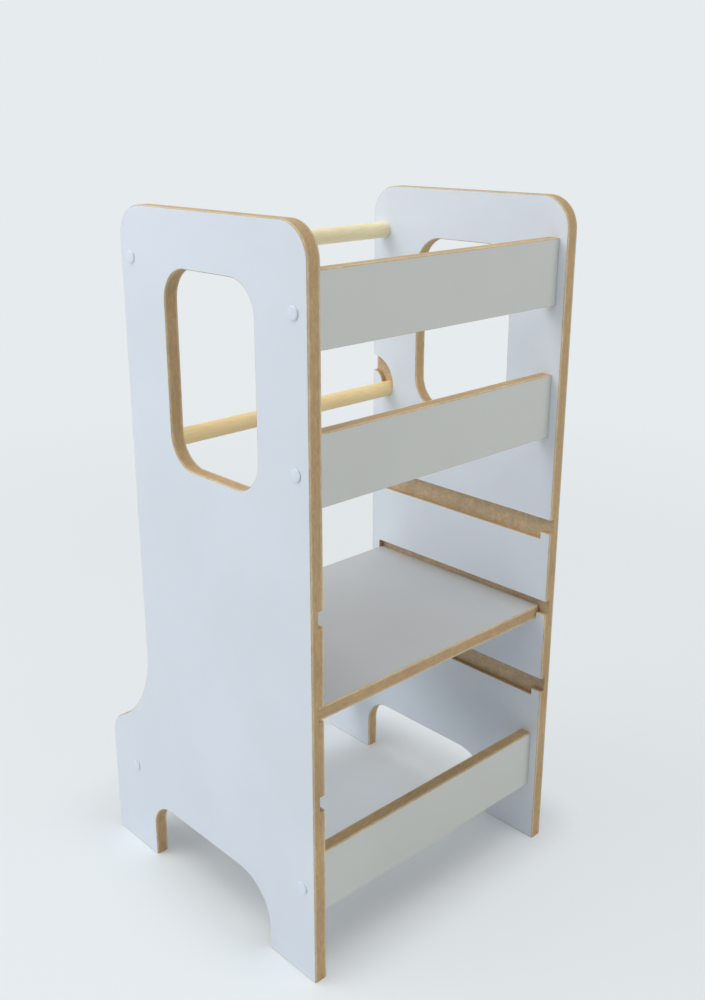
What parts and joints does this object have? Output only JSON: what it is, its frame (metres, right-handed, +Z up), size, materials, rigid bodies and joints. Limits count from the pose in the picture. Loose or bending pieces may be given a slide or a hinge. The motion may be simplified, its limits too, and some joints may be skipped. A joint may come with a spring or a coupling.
{
  "type": "toddler kitchen helper stool",
  "caption": "Standing tower for a toddler at a kitchen worktop: two routed side panels, slatted front, platform that drops into grooves at several heights, lift-out rear bar.",
  "frame": {"origin": "on the floor, in the middle of the stool's width and depth", "axes": "+Z up, +Y from the front edge with the rails to the back with the bars, +X across to the right side panel as seen from the front"},
  "size_m": [0.4396, 0.43, 0.9],
  "materials": {
    "side_panel_laminate": "satin laminate on MDF, raw brown edges",
    "rail_laminate": "satin laminate on MDF, raw brown edges",
    "platform_laminate": "satin laminate on MDF, raw brown edges",
    "bar_wood": "sanded and clear lacquered hardwood",
    "dowel_wood": "fluted hardwood dowel",
    "screw_steel": "zinc plated",
    "cap_plastic": "satin white plastic"
  },
  "bodies": {
    "frame": {"bottom_front_rail": "rail_laminate", "bottom_front_rail_dowels": "dowel_wood", "bottom_front_rail_screws": "screw_steel", "left_screw_caps": "cap_plastic", "left_side_panel": "side_panel_laminate", "middle_front_rail": "rail_laminate", "middle_front_rail_dowels": "dowel_wood", "middle_front_rail_screws": "screw_steel", "rear_bottom_rail": "rail_laminate", "rear_bottom_rail_dowels": "dowel_wood", "rear_bottom_rail_screws": "screw_steel", "right_screw_caps": "cap_plastic", "right_side_panel": "side_panel_laminate", "top_front_rail": "rail_laminate", "top_front_rail_dowels": "dowel_wood", "top_front_rail_screws": "screw_steel", "top_rear_bar": "bar_wood", "top_rear_bar_screws": "screw_steel"},
    "platform": {"platform": "platform_laminate"},
    "removable_rear_bar": {"removable_rear_bar": "bar_wood"}
  },
  "joints": [
    {"name": "platform_lift", "type": "slide", "parent": "frame", "child": "platform", "axis": [0, 0, 1], "range_m": [0, 0.0114]},
    {"name": "bar_lift_out", "type": "hinge", "parent": "frame", "child": "removable_rear_bar", "pos_m": [0, 0.115, 0.62], "axis": [-1, 0, 0], "range_deg": [0, 130]}
  ]
}
